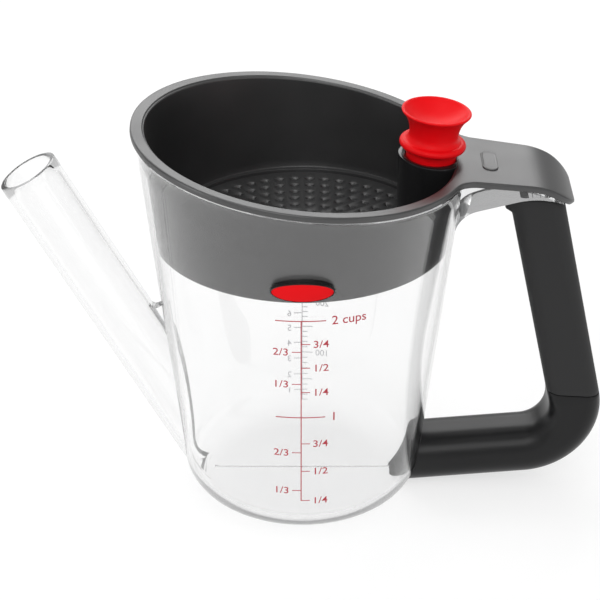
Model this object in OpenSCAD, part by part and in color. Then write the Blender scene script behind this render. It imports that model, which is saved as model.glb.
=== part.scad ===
// Gravy fat separator: a clear measuring cup with a low pouring spout, a lift-out
// strainer and a stopper that is stored in the strainer and plugs the spout in use.
// The origin is the middle of the cup's foot on the table. The spout points to -X,
// the handle to +X, and the measuring scale faces -Y.

/* [Cup] */
// Outer radius of the cup wall where its slope would meet the table
foot_r = 38.5; // [34:0.5:44]
// Growth of the wall radius for each millimetre of height
wall_slope = 0.112; // [0.09:0.002:0.13]
// Height of the rim's top on the cup axis
rim_h = 125.2; // [115:0.2:140]
// Slant of the rim, higher on the spout side
rim_tilt = 7; // [4:0.5:9]
// Wall thickness of the cup
cup_wall = 1.8; // [1.4:0.1:2.4]
// Thickness of the cup floor
floor_t = 2.6; // [2.2:0.1:4]
// Outer rounding radius at the foot of the cup
foot_round = 12; // [8:0.5:14]
// Rise of the floor from its drain valley to its sides
valley_d = 1.6; // [0.8:0.1:2.4]

/* [Spout] */
// Outer radius of the spout tube
spout_r = 10; // [9:0.1:11]
// Bore radius of the spout tube
spout_bore_r = 8.2; // [7.4:0.1:8.4]
// Lean of the spout axis from the vertical
spout_lean = 28.9; // [26:0.1:32]
// Distance of the spout axis from the cup axis at table height
spout_foot_x = 24.2; // [23:0.2:26]
// Length of the spout axis from table height to its mouth
spout_len = 130.7; // [115:0.1:140]

/* [Strainer] */
// Clearance between the strainer wall and the cup wall
strainer_gap = 0.25; // [0.2:0.05:0.4]
// Gap between the cup's top edge and the flange that rests on it
seat_gap = 0.2; // [0.1:0.05:0.4]
// Wall thickness of the strainer
strainer_wall = 1.4; // [1.2:0.1:1.8]
// Depth of the strainer wall's lower edge below the rim's height on the axis
strainer_d = 32.1; // [28:0.1:38]
// Thickness of the rim flange and of the tail
flange_t = 2; // [1.6:0.1:2.6]
// How far the rim flange stands out past the cup wall
flange_over = 0.7; // [0.4:0.1:1.2]
// Depth and width of the rebate along the rim's inner edge
rim_step = 0.5; // [0.3:0.1:0.8]
// Height of the ledge around the grille, above the wall's lower edge
ledge_up = 1; // [0.6:0.1:2]
// Width of that ledge
ledge_w = 1.5; // [1:0.1:3]
// Depth of the grille's top below the ledge
ledge_h = 1.2; // [0.6:0.1:1.6]
// Thickness of the grille
grille_t = 1.4; // [1:0.1:2]
// Spacing of the rings of drain holes
ring_pitch = 4.88; // [4.6:0.02:4.96]
// Number of rings of drain holes
ring_n = 8; // [5:1:8]
// Length of one drain hole
hole_l = 3.4; // [2.6:0.1:3.8]
// Width of one drain hole
hole_w = 2.2; // [1.6:0.1:2.4]

/* [Tail] */
// Half width of the tail beside the rim
tail_hw = 16.8; // [14:0.2:18]
// Half width of the tail before its rounded end
tail_end_hw = 15.3; // [13:0.1:16]
// Direction in which the tail's arch ends, from the vertical
tail_end_a = 51.8; // [45:0.2:60]
// Corner radius of the tail's end, seen from above
tail_corner_r = 7.6; // [5:0.2:9]
// Distance from the cup axis where the tail starts to arch down
tail_bend_x = 71.5; // [69:0.5:74]
// Radius of the arch at the tail's end
tail_bend_r = 22; // [19:0.5:26]
// Radius of the fillets between the tail and the rim
tail_fillet_r = 9; // [6:0.5:11]
// Distance of the plain pad on the tail from the cup axis, along the tail
pad_x = 59.6; // [58:0.2:64]
// Length of the pad across the tail
pad_l = 8; // [6:0.2:14]
// Width of the pad
pad_w = 4; // [3:0.2:6]
// Height of the pad
pad_h = 0.5; // [0.3:0.1:1.2]

/* [Stopper] */
// Distance of the stopper axis from the cup axis at the rim
stopper_x = 40.7; // [39:0.1:41]
// Lean of the stopper axis towards the handle
stopper_lean = 5; // [4:0.5:7]
// Radius of the stopper's plug at its widest
plug_r = 8; // [7.4:0.1:8]
// Radius of the stopper's plug at its lower end
plug_end_r = 7.3; // [6.8:0.1:7.4]
// Solid base under the plug's pocket, above the grille
pocket_base = 8.4; // [6:0.1:12]
// Radius of the stopper's flange
knob_flange_r = 10.6; // [10:0.1:12]
// Height of the flange's middle above the rim plane
knob_flange_v = 4; // [3.4:0.1:5]
// Radius of the knob's neck
knob_neck_r = 7.8; // [6.5:0.1:8.5]
// Height of the neck above the rim plane
knob_neck_v = 7.4; // [7.2:0.1:8.4]
// Radius of the knob's dished top
knob_top_r = 11.1; // [10:0.1:12]
// Height of the knob's top above the rim plane
knob_h = 15.4; // [13:0.1:18]
// Depth of the dish in the knob's top
dish_d = 4.2; // [2:0.1:5]
// Running clearance between the plug and its pocket
plug_gap = 0.15; // [0.1:0.05:0.2]
// Outer radius of the stopper pocket's column
pocket_r = 10.5; // [10:0.1:11]

/* [Handle] */
// Thickness of the handle seen from the side
handle_t = 17; // [15:0.2:19]
// Width of the handle seen from behind
handle_w = 22; // [20:0.5:26]
// Corner radius of the handle's section
handle_round = 6; // [4:0.5:7]
// Height of the lower arm's axis where it leaves the cup wall
arm_h = 9.6; // [8.8:0.2:12]
// Upward slope of the lower arm
arm_rise = 5; // [2:0.5:7]
// Radius of the elbow's axis
elbow_r = 18; // [14:0.5:20]
// Lean of the grip from the vertical
grip_lean = 12.5; // [10:0.5:14]
// Distance of the grip's axis from the cup axis, at table height
grip_foot_x = 98.1; // [95:0.1:104]
// Thickness of the core inside the grip
core_t = 10; // [8:0.2:12]
// Width of the core inside the grip
core_w = 14; // [11:0.2:17]
// Depth of the core's tongue in the elbow
tongue_l = 12; // [8:0.5:16]

/* [Upper arm] */
// Radius of the arch under the clear arm, beside the cup
arch_r = 9.4; // [7:0.2:12]
// Distance of that arch's centre from the cup axis
arch_x = 57.5; // [56:0.5:60]
// Drop of that arch's centre below the rim's height on the axis
arch_drop = 29; // [27:0.2:32]
// Radius of the grip's crowned top, where the clear arm sits on it
crown_r = 25.5; // [22:0.5:30]
// Distance of the crown's centre from the cup axis
crown_x = 73.8; // [72:0.2:76]
// Drop of the top of the crown below the rim's height on the axis
crown_drop = 15.9; // [15.2:0.1:18]
// Distance of the clear arm's end from the cup axis, under the tail
arm_end_x = 82.4; // [80:0.2:83]
// How far the lip at the grip's top stands out towards the cup
lip_l = 2.1; // [1:0.1:3]

/* [Badge] */
// Width of the plain badge on the front of the cup
badge_w = 19.9; // [16:0.1:24]
// Height of the badge
badge_h = 6.6; // [5:0.1:9]
// Drop of the badge's middle below the rim's height on the axis
badge_drop = 27.1; // [22:0.1:31]
// How far the badge's backing stands out of the cup wall
badge_t = 1.5; // [1:0.1:2]
// Width of the backing seen around the inlay
badge_edge = 0.3; // [0.2:0.1:0.8]
// Thickness of the inlay
inlay_t = 0.7; // [0.5:0.1:0.9]

/* [Hidden] */
$fn = 96;
// Facets asked of the large rounds
fine = 180;

// A length past everything, for cutting
far = 400;
// Height past the rim, where the cones are cut later
above = rim_h + 40;
// Heights that follow the rim: strainer's lower edge, arch's centre, crown's top, badge's middle
strainer_h = rim_h - strainer_d;
arch_z = rim_h - arch_drop;
crown_top = rim_h - crown_drop;
badge_z = rim_h - badge_drop;
// Start of the spout's bore on its axis, where its lower edge is a little above the floor
spout_start = (floor_t + 0.1 + spout_bore_r * sin(spout_lean)) / cos(spout_lean);
// How far the spout's lower end stands out of the foot's rounding
spout_web = cup_wall;
// Clearance between the strainer's tail and the clear arm under it
tail_gap = 0.4;
// Insets of the strainer's outer and inner faces from the cup's outer face
basket_in = cup_wall + strainer_gap;
bowl_in = basket_in + strainer_wall;
// Heights of the ledge, the grille's top and the grille's underside
ledge_z = strainer_h + ledge_up;
grille_z = ledge_z - ledge_h;
grille_low = grille_z - grille_t;
grille_r = wall_r(ledge_z) - bowl_in - ledge_w;
// Height of the rim plane beside the stopper
stopper_z = rim_h - tan(rim_tilt) * stopper_x;
// Where the tail's arch starts, measured down the rim plane
bend_u = tail_bend_x / cos(rim_tilt);
// Centre of that arch, and the distance of the tail's end, which is cut square to the arch
bend_cx = tail_bend_x - tail_bend_r * sin(rim_tilt);
bend_cz = rim_h - bend_u * sin(rim_tilt) - tail_bend_r * cos(rim_tilt);
tail_len = bend_cx + tail_bend_r * sin(tail_end_a);
// Radii of the stopper pocket's bore, and its depth past the plug's end
pocket_bore_r = plug_r + plug_gap;
pocket_end_r = plug_end_r + plug_gap;
pocket_room = 1;
// Length of the stopper's plug below the rim
plug_len = (stopper_z - grille_z - pocket_base) / cos(stopper_lean) - pocket_room;
// Where the lower arm leaves the cup wall, and where its axis meets the grip's axis
arm_x0 = wall_r(arm_h);
turn = 90 + grip_lean - arm_rise;
meet_x = (grip_foot_x - tan(grip_lean) * (arm_h - tan(arm_rise) * arm_x0))
    / (1 + tan(grip_lean) * tan(arm_rise));
meet_z = arm_h + tan(arm_rise) * (meet_x - arm_x0);
// Ends of the elbow's arc: on the lower arm, and at the seam under the grip
tangent_l = elbow_r * tan(turn / 2);
elbow_x = meet_x - cos(arm_rise) * tangent_l;
elbow_z = meet_z - sin(arm_rise) * tangent_l;
seam_x = meet_x - sin(grip_lean) * tangent_l;
seam_z = meet_z + cos(grip_lean) * tangent_l;
// How far the lower arm runs into the foot's rounding, where the cup trims it
arm_root = 5;
arm_l = (elbow_x - arm_x0) / cos(arm_rise) + arm_root;
// Corner radius of the core's section
core_round = 2.5;
// Centre of the crown, and the grip's length from the seam to past the crown
crown_z = crown_top - crown_r;
grip_l = (crown_top - seam_z) / cos(grip_lean) + 6;
// Line over the arch and the crown, which its ends cut by a hair so that all three meet cleanly
tuck = 0.03;
link_l = norm([crown_x - arch_x, crown_z - arch_z]);
link_a = asin((crown_r - arch_r) / link_l) + atan2(crown_z - arch_z, crown_x - arch_x);
link_from = [arch_x - (arch_r - tuck) * sin(link_a), arch_z + (arch_r - tuck) * cos(link_a)];
link_to = [crown_x - (crown_r - tuck) * sin(link_a), crown_z + (crown_r - tuck) * cos(link_a)];
// Root of the lip on the grip's front face
lip_z = crown_top - 5.6;
lip_x = seam_x - (lip_z - seam_z) * tan(grip_lean) - handle_t / 2 / cos(grip_lean);
// Radii of the stopper's flange edge, of the fillet over it, of the flare above the neck and
// of the dish, which leaves a lip of dish_edge
knob_edge_r = 1.2;
knob_fillet_r = knob_neck_v - knob_flange_v - 0.6;
knob_flare_r = 10;
dish_edge = 0.9;
dish_r = (pow(knob_top_r - dish_edge, 2) + pow(dish_d, 2)) / (2 * dish_d);

// Outer radius of the cup wall at height z
function wall_r(z) = foot_r + wall_slope * z;

// Cone of the cup wall, moved in by inset, between two heights
module wall_cone(inset, low, high) {
    translate([0, 0, low])
        cylinder(h = high - low, r1 = wall_r(low) - inset, r2 = wall_r(high) - inset, $fn = fine);
}

// The space above the rim plane, when that is lowered by drop
module above_rim(drop) {
    translate([0, 0, rim_h]) rotate([0, rim_tilt, 0]) translate([-far / 2, -far / 2, -drop])
        cube([far, far, far]);
}

// The space below the rim plane, when that is lowered by drop
module below_rim(drop) {
    translate([0, 0, rim_h]) rotate([0, rim_tilt, 0]) translate([-far / 2, -far / 2, -drop - far])
        cube([far, far, far]);
}

// Half section of the cup's shape: sloped side, rounded foot and flat base
module cup_half(inset, base) {
    round_r = foot_round - inset;
    slope = atan(wall_slope);
    mid_z = base + round_r;
    mid_r = wall_r(mid_z) - inset - round_r / cos(slope);
    side_z = mid_z - round_r * sin(slope);
    side_r = mid_r + round_r * cos(slope);
    polygon([[0, base], [mid_r, base], [mid_r, side_z], [side_r, side_z],
        [wall_r(above) - inset, above], [0, above]]);
    intersection() {
        translate([mid_r, mid_z]) circle(r = round_r);
        translate([0, base]) square([side_r + 1, side_z - base]);
    }
}

// The cup as if it were solid
module cup_solid() {
    rotate_extrude($fn = fine) cup_half(0, 0);
}

// Space above the floor, whose two halves slope to a valley along X
module over_floor() {
    rotate([90, 0, 90])
        linear_extrude(height = far, center = true)
            polygon([[0, floor_t], [far, floor_t + valley_d * far / foot_r], [far, far],
                [-far, far], [-far, floor_t + valley_d * far / foot_r]]);
}

// Round bar along the spout's axis, from a to b above the table
module spout_rod(r, a, b) {
    translate([-spout_foot_x, 0, 0]) rotate([0, -spout_lean, 0]) translate([0, 0, a])
        cylinder(h = b - a, r = r);
}

module cup_bowl() {
    color([0.93, 0.95, 0.96, 0.35])
    difference() {
        cup_solid();
        intersection() {
            rotate_extrude($fn = fine) cup_half(cup_wall, floor_t);
            over_floor();
        }
        spout_rod(spout_bore_r, spout_start, spout_len);
        above_rim(flange_t + seat_gap);
    }
}

module spout_tube() {
    color([0.93, 0.95, 0.96, 0.35])
    difference() {
        spout_rod(spout_r, 0, spout_len);
        spout_rod(spout_bore_r, spout_start, spout_len + 1);
        cup_solid();
        difference() {
            translate([-far / 2, -far / 2, -far]) cube([far, far, far + foot_round / 2]);
            rotate_extrude($fn = fine) cup_half(-spout_web, 0);
        }
        translate([-far / 2, -far / 2, -far]) cube([far, far, far + 1]);
    }
}

// Rounded rectangle, t thick and w wide
module section(t, w, r) {
    square([t, w - 2 * r], center = true);
    square([t - 2 * r, w], center = true);
    for (x = [-1, 1], y = [-1, 1])
        translate([x * (t / 2 - r), y * (w / 2 - r)]) circle(r = r);
}

// Straight bar along the grip's axis, from a to b above the seam
module grip_rod(t, w, r, a, b) {
    translate([seam_x, 0, seam_z]) rotate([0, -grip_lean, 0]) translate([0, 0, a])
        linear_extrude(height = b - a) section(t, w, r);
}

// A side view in X and Z, made w wide across Y
module across(w) {
    rotate([90, 0, 0]) linear_extrude(height = w, center = true) children();
}

// Side view of all that lies under the grip's crown
module under_crown() {
    translate([crown_x, crown_z]) circle(r = crown_r);
    square([far, crown_z]);
}

// Side view of all that lies under the clear arm: the arch, the crown and the line over both
module under_arm() {
    translate([arch_x, arch_z]) circle(r = arch_r);
    translate([crown_x, crown_z]) circle(r = crown_r);
    polygon([link_from, link_to, [crown_x, crown_z], [arch_x, arch_z]]);
    polygon([[arch_x - arch_r, arch_z], [arch_x - arch_r, 0], [far, 0], [far, crown_z],
        [crown_x, crown_z], [arch_x, arch_z]]);
}

// Side view under the tail and its arch, with drop as the distance from the tail's top
module under_tail(drop) {
    translate([0, rim_h]) rotate(-rim_tilt) {
        translate([-far, -drop - far]) square([far + bend_u, far]);
        translate([bend_u, -tail_bend_r]) circle(r = tail_bend_r - drop);
    }
}

module upper_arm() {
    color([0.93, 0.95, 0.96, 0.35])
    difference() {
        across(handle_w) difference() {
            intersection() {
                under_tail(flange_t + tail_gap);
                translate([arch_x - arch_r - 3, arch_z])
                    square([arm_end_x - arch_x + arch_r + 3, far]);
            }
            under_arm();
        }
        cup_solid();
    }
}

module handle_core() {
    color([0.22, 0.22, 0.23])
    intersection() {
        grip_rod(core_t, core_w, core_round, -tongue_l, grip_l);
        across(far) under_crown();
    }
}

module lower_arm() {
    color([0.17, 0.17, 0.18])
    difference() {
        union() {
            translate([elbow_x, 0, elbow_z]) rotate([0, -90 - arm_rise, 0])
                linear_extrude(height = arm_l) section(handle_t, handle_w, handle_round);
            translate([elbow_x, 0, elbow_z]) rotate([0, -arm_rise, 0]) translate([0, 0, elbow_r])
                rotate([90, 0, 0]) rotate([0, 0, -90]) rotate_extrude(angle = turn)
                    translate([elbow_r, 0]) section(handle_t, handle_w, handle_round);
        }
        cup_solid();
        grip_rod(core_t, core_w, core_round, -tongue_l, 1);
    }
}

module grip_sleeve() {
    color([0.2, 0.2, 0.2])
    difference() {
        intersection() {
            union() {
                grip_rod(handle_t, handle_w, handle_round, 0, grip_l);
                across(handle_w - handle_round) polygon([[lip_x + handle_t / 2, lip_z],
                    [lip_x, lip_z], [lip_x - lip_l, lip_z + lip_l], [lip_x - lip_l, crown_top + 1],
                    [lip_x + handle_t / 2, crown_top + 1]]);
            }
            across(far) under_crown();
        }
        grip_rod(core_t, core_w, core_round, -1, grip_l);
    }
}

// Frame of the stopper's axis, which leans to the handle, with height 0 at the rim plane
module stopper_axis() {
    translate([stopper_x, 0, stopper_z]) rotate([0, stopper_lean, 0]) children();
}

// Tapered bore of the stopper's pocket
module pocket_bore() {
    stopper_axis() {
        translate([0, 0, -plug_len - pocket_room])
            cylinder(h = plug_len + pocket_room, r1 = pocket_end_r, r2 = pocket_bore_r);
        cylinder(h = knob_h, r = pocket_bore_r);
    }
}

module strainer_basket() {
    color([0.16, 0.16, 0.17])
    difference() {
        union() {
            wall_cone(basket_in, strainer_h, above);
            translate([0, 0, grille_low]) cylinder(h = strainer_h - grille_low, r1 = grille_r,
                r2 = wall_r(strainer_h) - basket_in, $fn = fine);
        }
        wall_cone(bowl_in, ledge_z, above + 1);
        translate([0, 0, grille_low - 1])
            cylinder(h = ledge_z - grille_low + 2, r = grille_r, $fn = fine);
        above_rim(flange_t);
        pocket_bore();
    }
}

module strainer_rim() {
    color([0.42, 0.42, 0.43])
    difference() {
        wall_cone(-flange_over, strainer_h, above);
        wall_cone(bowl_in, strainer_h - 1, above + 1);
        above_rim(0);
        below_rim(flange_t);
        intersection() {
            wall_cone(bowl_in - rim_step, strainer_h, above);
            above_rim(rim_step);
        }
        pocket_bore();
    }
}

// Outline of the tail seen from above, with fillets into the rim and rounded end corners
module tail_plan() {
    rim_r = wall_r(stopper_z) + flange_over;
    fillet_y = tail_hw + tail_fillet_r;
    fillet_x = sqrt(pow(rim_r + tail_fillet_r, 2) - pow(fillet_y, 2));
    corner_x = tail_len + 0.5 - tail_corner_r;
    corner_y = tail_end_hw - tail_corner_r;
    difference() {
        polygon([[rim_r / 2, -fillet_y], [fillet_x, -fillet_y], [fillet_x, -tail_hw],
            [corner_x, -tail_end_hw], [corner_x, tail_end_hw], [fillet_x, tail_hw],
            [fillet_x, fillet_y], [rim_r / 2, fillet_y]]);
        for (side = [-1, 1])
            translate([fillet_x, side * fillet_y]) circle(r = tail_fillet_r);
    }
    translate([corner_x - 1, -corner_y]) square([tail_corner_r + 1, 2 * corner_y]);
    for (side = [-1, 1])
        translate([corner_x, side * corner_y]) circle(r = tail_corner_r);
}

module strainer_tail() {
    color([0.45, 0.45, 0.46])
    difference() {
        intersection() {
            translate([0, 0, arch_z]) linear_extrude(height = far) tail_plan();
            across(far) difference() {
                under_tail(0);
                under_tail(flange_t);
                translate([bend_cx, bend_cz]) rotate(-tail_end_a) square([far, far]);
            }
        }
        wall_cone(-flange_over, strainer_h, above);
    }
}

// Rounded slot
module slot(l, w) {
    square([l - w, w], center = true);
    for (side = [-1, 1])
        translate([side * (l - w) / 2, 0]) circle(d = w, $fn = 24);
}

// Rings of drain holes, six more on each ring, left out under the stopper's pocket
module drain_holes() {
    for (ring = [1 : ring_n], i = [0 : 6 * ring - 1]) {
        turned = 90 + (i + 0.5) * 60 / ring;
        at = ring * ring_pitch * [cos(turned), sin(turned)];
        if (norm(at - [stopper_x, 0]) > pocket_r + hole_l / 2)
            translate(at) rotate(turned + 90) slot(hole_l, hole_w);
    }
}

module strainer_grille() {
    color([0.2, 0.2, 0.21])
    difference() {
        translate([0, 0, grille_low]) cylinder(h = grille_t, r = grille_r, $fn = fine);
        translate([0, 0, grille_low - 1]) linear_extrude(height = grille_t + 2) drain_holes();
    }
}

module stopper_pocket() {
    color([0.08, 0.08, 0.09])
    difference() {
        intersection() {
            translate([stopper_x, 0, grille_z]) cylinder(h = far, r = pocket_r);
            wall_cone(bowl_in, grille_z, above);
            union() {
                translate([0, 0, ledge_z]) cylinder(h = far, r = far);
                cylinder(h = far, r = grille_r, $fn = fine);
            }
        }
        above_rim(0);
        pocket_bore();
    }
}

module stopper() {
    color([0.85, 0.05, 0.06])
    stopper_axis() rotate_extrude() difference() {
        union() {
            polygon([[0, -plug_len], [plug_end_r - 0.8, -plug_len], [plug_end_r, -plug_len + 0.8],
                [plug_r, 0], [plug_r, knob_flange_v], [0, knob_flange_v]]);
            translate([0, knob_flange_v - knob_edge_r])
                square([knob_flange_r - knob_edge_r, 2 * knob_edge_r]);
            intersection() {
                translate([knob_flange_r - knob_edge_r, knob_flange_v]) circle(r = knob_edge_r);
                translate([0, -far / 2]) square([far, far]);
            }
            difference() {
                translate([0, knob_flange_v])
                    square([knob_neck_r + knob_fillet_r, knob_neck_v - knob_flange_v]);
                translate([knob_neck_r + knob_fillet_r, knob_neck_v]) circle(r = knob_fillet_r);
            }
            difference() {
                translate([0, knob_neck_v]) square([knob_top_r, knob_h - knob_neck_v]);
                translate([knob_neck_r + knob_flare_r, knob_neck_v]) circle(r = knob_flare_r);
            }
        }
        translate([0, knob_h + dish_r - dish_d]) circle(r = dish_r);
    }
}

// Prism with an oval section, out of the front of the cup, smaller all round by edge
module badge_prism(edge) {
    steps = 48;
    translate([0, 0, badge_z]) rotate([90, 0, 0]) linear_extrude(height = far)
        polygon([for (i = [0 : steps - 1]) [(badge_w / 2 - edge) * cos(i * 360 / steps),
            (badge_h / 2 - edge) * sin(i * 360 / steps)]]);
}

module badge_inlay() {
    color([0.85, 0.05, 0.06])
    intersection() {
        badge_prism(badge_edge);
        difference() {
            wall_cone(-badge_t, badge_z - badge_h, above);
            wall_cone(inlay_t - badge_t, badge_z - badge_h - 1, above + 1);
        }
    }
}

module badge_backing() {
    color([0.06, 0.06, 0.06])
    difference() {
        intersection() {
            badge_prism(0);
            wall_cone(-badge_t, badge_z - badge_h, above);
        }
        cup_solid();
        difference() {
            badge_prism(badge_edge);
            wall_cone(inlay_t - badge_t, badge_z - badge_h - 1, above + 1);
        }
    }
}

module tail_pad() {
    color([0.5, 0.5, 0.5])
    translate([0, 0, rim_h]) rotate([0, rim_tilt, 0]) translate([pad_x, 0, 0]) rotate([0, 0, 90])
        linear_extrude(height = pad_h) slot(pad_l + pad_w, pad_w);
}

cup_bowl();
spout_tube();
upper_arm();
handle_core();
lower_arm();
grip_sleeve();
strainer_basket();
strainer_rim();
strainer_tail();
strainer_grille();
stopper_pocket();
stopper();
badge_backing();
badge_inlay();
tail_pad();
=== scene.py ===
# %% [markdown]
# # A gravy fat separator, dressed piece by piece
# The object is a clear cup with a low pouring spout, a black strainer that rests on the cup's
# slanted edge, a red stopper stored in the strainer, and a black handle with a soft grip.
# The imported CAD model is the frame: every piece below is worked out in the same place, in
# millimetres, and written in metres. Most pieces are surfaces of two parameters, computed as
# whole numpy arrays, because their sizes are known exactly from the CAD.

import math
import bmesh
import bpy
import numpy as np
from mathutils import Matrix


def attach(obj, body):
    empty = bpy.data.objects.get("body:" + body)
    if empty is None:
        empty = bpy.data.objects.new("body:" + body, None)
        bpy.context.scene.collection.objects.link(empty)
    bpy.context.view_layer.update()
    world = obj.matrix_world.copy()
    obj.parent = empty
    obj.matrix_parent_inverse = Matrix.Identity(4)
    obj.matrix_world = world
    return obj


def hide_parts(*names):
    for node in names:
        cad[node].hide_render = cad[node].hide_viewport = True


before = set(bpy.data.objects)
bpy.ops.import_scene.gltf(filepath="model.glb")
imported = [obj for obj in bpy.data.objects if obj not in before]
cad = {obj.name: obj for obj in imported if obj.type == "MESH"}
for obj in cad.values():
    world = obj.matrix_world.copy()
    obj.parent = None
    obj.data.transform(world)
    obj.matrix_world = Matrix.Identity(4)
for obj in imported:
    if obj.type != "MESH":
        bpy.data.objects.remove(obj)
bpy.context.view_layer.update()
print("CAD nodes:", ", ".join(sorted(cad)))

# %% [markdown]
# ## The camera
# The photograph looks down on the cup by 29 degrees through a long lens, straight along +Y.
# A camera could be aimed by eye. This one was solved from the rim, the foot and the spout, so
# every piece falls on its place.

# %% Camera
lens = bpy.data.cameras.new("camera")
lens.lens = 126.74
lens.sensor_width = 36
lens.clip_end = 50
camera = bpy.data.objects.new("camera", lens)
camera.location = (-0.000757, -0.60559, 0.404949)
camera.rotation_euler = (math.radians(60.874), 0, 0)
bpy.context.scene.collection.objects.link(camera)
bpy.context.scene.camera = camera
print("camera is", round(camera.location.length, 3), "m from the origin")

# %% [markdown]
# ## Helpers for surfaces
# A surface here is a grid of points: rows along a profile, columns round it. One helper turns
# such a grid into a closed mesh, merges the points that meet at a pole, and turns the faces
# outwards. Another reports how many edges are open, which should be none.


# %% Grid to mesh
def grid_quads(rows, cols, close_rows=False):
    """Corner numbers of a grid's quads; columns go round, and rows join up where asked."""
    i = np.arange(rows if close_rows else rows - 1)[:, None]
    i, j = np.broadcast_arrays(i, np.arange(cols)[None, :])
    a, b = (i + 1) % rows, (j + 1) % cols
    return np.stack([i * cols + j, a * cols + j, a * cols + b, i * cols + b], -1).reshape(-1, 4)


def shade(mesh, angle=35):
    """Smooth shading, with sharp edges where faces meet at more than the angle in degrees."""
    mesh.polygons.foreach_set("use_smooth", np.ones(len(mesh.polygons), bool))
    mesh.set_sharp_from_angle(angle=math.radians(angle))


def close_up(mesh, merge=2e-7):
    """Merges doubled points and turns all faces outwards; the volume tells which way is out."""
    bm = bmesh.new()
    bm.from_mesh(mesh)
    bmesh.ops.remove_doubles(bm, verts=bm.verts, dist=merge)
    bmesh.ops.recalc_face_normals(bm, faces=bm.faces)
    if bm.calc_volume(signed=True) < 0:
        bmesh.ops.reverse_faces(bm, faces=bm.faces)
    bm.to_mesh(mesh)
    bm.free()
    mesh.update()


print("mesh helpers ready")


# %% New pieces
def coords(mesh):
    """Points of a mesh as rows (x, y, z)."""
    co = np.empty(3 * len(mesh.vertices))
    mesh.vertices.foreach_get("co", co)
    return co.reshape(-1, 3)


def report(obj):
    """Prints a piece's size, and its open edges: closed meshes have two face corners an edge."""
    mesh, co = obj.data, coords(obj.data) * 1000
    gaps = 2 * len(mesh.edges) - len(mesh.loops)
    low, high = co.min(0).round(1).tolist(), co.max(0).round(1).tolist()
    print(f"{obj.name}: {len(mesh.polygons)} faces, open edges {gaps}, from {low} to {high}")


def place(name, mesh):
    """Object at the origin that shows a mesh."""
    obj = bpy.data.objects.new(name, mesh)
    bpy.context.scene.collection.objects.link(obj)
    return obj


def solid(name, points, faces):
    """Closed object from points in mm and faces given by their corners' numbers."""
    mesh = bpy.data.meshes.new(name)
    mesh.from_pydata((points.reshape(-1, 3) / 1000).tolist(), [], faces)
    close_up(mesh)
    return place(name, mesh)


def surface(name, grid, close_rows=False, angle=35):
    """Object made of a rows x cols x 3 grid of points in mm, whose columns go round."""
    obj = solid(name, grid, grid_quads(*grid.shape[:2], close_rows).tolist())
    shade(obj.data, angle)
    return obj


def arc(centre, radius, start, end, count):
    """Points centre + radius (cos a, sin a), with a from start to end in degrees."""
    a = np.radians(np.linspace(start, end, count))
    return np.stack([centre[0] + radius * np.cos(a), centre[1] + radius * np.sin(a)], -1)


print("helpers for new pieces ready")

# %% [markdown]
# ## The shape that all parts share
# The cup's wall is a cone, and its rim lies in a plane that slants towards the handle. Most
# other parts are set off from these two, so they are written once: the wall's radius at a
# height, and the height where a cone a little inside the wall meets the lowered rim plane.

# %% Cone and rim plane
FOOT_R, SLOPE = 38.5, 0.112
RIM_H, TILT = 125.2, math.radians(7)
CUP_WALL, FLOOR_T, FOOT_ROUND, VALLEY = 1.8, 2.6, 12.0, 1.6
SEAT = 2.2
TILT_T = math.tan(TILT)
SIDE = math.atan(SLOPE)


def wall_r(z):
    """Outer radius of the cup wall at height z: foot radius plus slope times height."""
    return FOOT_R + SLOPE * z


def rim_meets(angle, inset, drop):
    """Height at which the cone wall_r(z) - inset meets the rim plane lowered by drop."""
    c = np.cos(angle)
    top = RIM_H - drop / math.cos(TILT)
    return (top - TILT_T * (FOOT_R - inset) * c) / (1 + TILT_T * SLOPE * c)


def around(r, angle, z):
    """Points at radius r, angle and height z, with the cup's axis as the centre."""
    r, angle, z = np.broadcast_arrays(r, angle, z)
    return np.stack([r * np.cos(angle), r * np.sin(angle), z], -1)


print("rim, high and low side:", rim_meets(np.array([math.pi, 0.0]), 0, 0).round(1), "mm")

# %% [markdown]
# ## Clear cup
# The cup, its spout and the upper arm of the handle are one moulding of clear plastic. Clear
# pieces that only overlap would show their inner walls, so they are worked out one by one as
# surfaces and joined with Blender's exact Boolean. The wall carries real thickness, because
# the grey edges of clear plastic come from the light's long way through it. Its top edge
# swells to a small bead, which catches a bright line under the black rim.


# %% Cup wall, foot and floor
def foot_arc(inset, base, count):
    """Radius and height along the foot's rounding, tangent to the base and to the wall."""
    r = FOOT_ROUND - inset
    centre = (wall_r(base + r) - inset - r / math.cos(SIDE), base + r)
    return arc(centre, r, -90, -math.degrees(SIDE), count)


def wall_rows(inset, drop, low, count):
    """Heights from low up to the rim plane lowered by drop, one column for each angle."""
    t = np.linspace(0, 1, count)[:, None]
    return low + t * (rim_meets(phi, inset, drop)[None, :] - low)


def cup_side(inset, base, drop, count, spread):
    """Rows of a cup surface from its axis along the base, round the foot and up the wall."""
    foot = foot_arc(inset, base, 14)
    flat = np.linspace(0, 1, spread)[:-1, None] * [foot[0]] + [[0, 0]]
    flat[:, 1] = base
    low = np.concatenate([flat, foot])
    rows = around(low[:, :1], phi[None, :], low[:, 1:])
    z = wall_rows(inset, drop, foot[-1, 1], count)[1:]
    return np.concatenate([rows, around(wall_r(z) - inset, phi[None, :], z)])


def over_valley(rows):
    """The floor slopes to a valley along X: height is at least floor + rise |y| / foot."""
    rows = rows.copy()
    rows[..., 2] = np.maximum(rows[..., 2], FLOOR_T + VALLEY * np.abs(rows[..., 1]) / FOOT_R)
    return rows


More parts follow.
